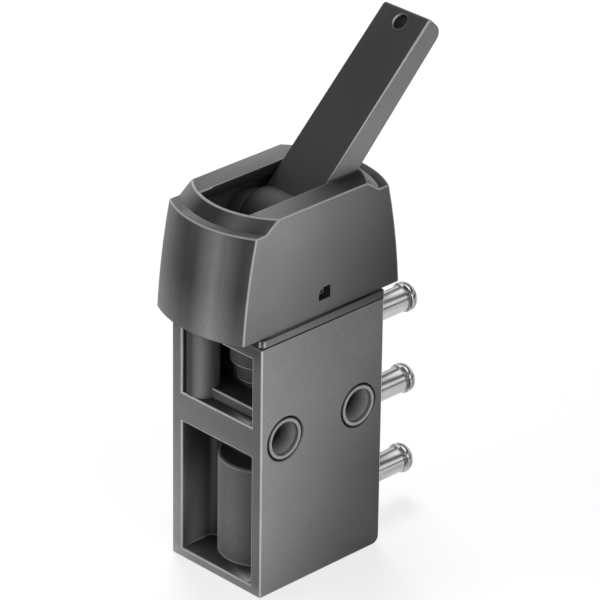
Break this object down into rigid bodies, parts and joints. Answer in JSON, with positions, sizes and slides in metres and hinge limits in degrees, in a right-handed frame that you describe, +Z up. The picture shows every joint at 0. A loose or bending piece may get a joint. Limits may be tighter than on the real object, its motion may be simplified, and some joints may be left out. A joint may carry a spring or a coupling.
{
  "type": "toggle lever valve",
  "caption": "Three-port pneumatic toggle valve: a lever in a black cap turns a cam that pushes a spring-returned plunger; barbed ports at the back.",
  "frame": {"origin": "centre of the lower face of the housing", "axes": "+Z up towards the lever, -Y the pocket side, +Y the side of the barbed ports, X across the two flat side faces"},
  "size_m": [0.018, 0.043, 0.0758],
  "materials": {
    "housing_plastic": "fine moulded grey-black engineering plastic",
    "cap_plastic": "moulded black plastic with a soft sheen",
    "lever_plastic": "smooth moulded black plastic",
    "bush_metal": "turned steel sleeve",
    "barb_nickel": "bright nickel plate over turned brass",
    "insert_brass": "turned brass",
    "plunger_steel": "ground stainless tube",
    "spring_steel": "drawn spring wire",
    "pin_steel": "ground dowel pin",
    "poppet_plastic": "natural acetal",
    "seal_rubber": "black nitrile rubber"
  },
  "bodies": {
    "root": {"housing": "housing_plastic", "front_mounting_bush": "bush_metal", "rear_mounting_bush": "bush_metal", "supply_barb": "barb_nickel", "outlet_barb": "barb_nickel", "exhaust_barb": "barb_nickel", "port_seals": "seal_rubber", "poppet_spring": "spring_steel", "seat_insert": "insert_brass", "seat_seal": "seal_rubber", "centre_guide": "insert_brass", "centre_guide_seal": "seal_rubber", "stem_seal": "seal_rubber", "top_guide": "insert_brass", "wiper_ring": "seal_rubber", "return_spring": "spring_steel", "carrier": "cap_plastic", "cap": "cap_plastic", "pivot_pin": "pin_steel"},
    "lever_arm": {"lever": "lever_plastic"},
    "plunger_stem": {"plunger": "plunger_steel", "plunger_head": "poppet_plastic"},
    "poppet_valve": {"poppet": "poppet_plastic", "poppet_seal": "seal_rubber"}
  },
  "joints": [
    {"name": "lever_pivot", "type": "hinge", "parent": "root", "child": "lever_arm", "pos_m": [0, 0, 0.0507], "axis": [1, 0, 0], "range_deg": [0, 90]},
    {"name": "plunger_slide", "type": "slide", "parent": "root", "child": "plunger_stem", "axis": [0, 0, -1], "range_m": [0, 0.00161], "deforming": ["return_spring"]},
    {"name": "poppet_slide", "type": "slide", "parent": "root", "child": "poppet_valve", "axis": [0, 0, -1], "range_m": [0, 0.00101], "deforming": ["poppet_spring"]}
  ],
  "couplings": [
    {"joint": "plunger_slide", "follows": "lever_pivot", "m_per_rad": 0.0010186},
    {"joint": "poppet_slide", "follows": "lever_pivot", "m_per_rad": 0.00063662}
  ]
}
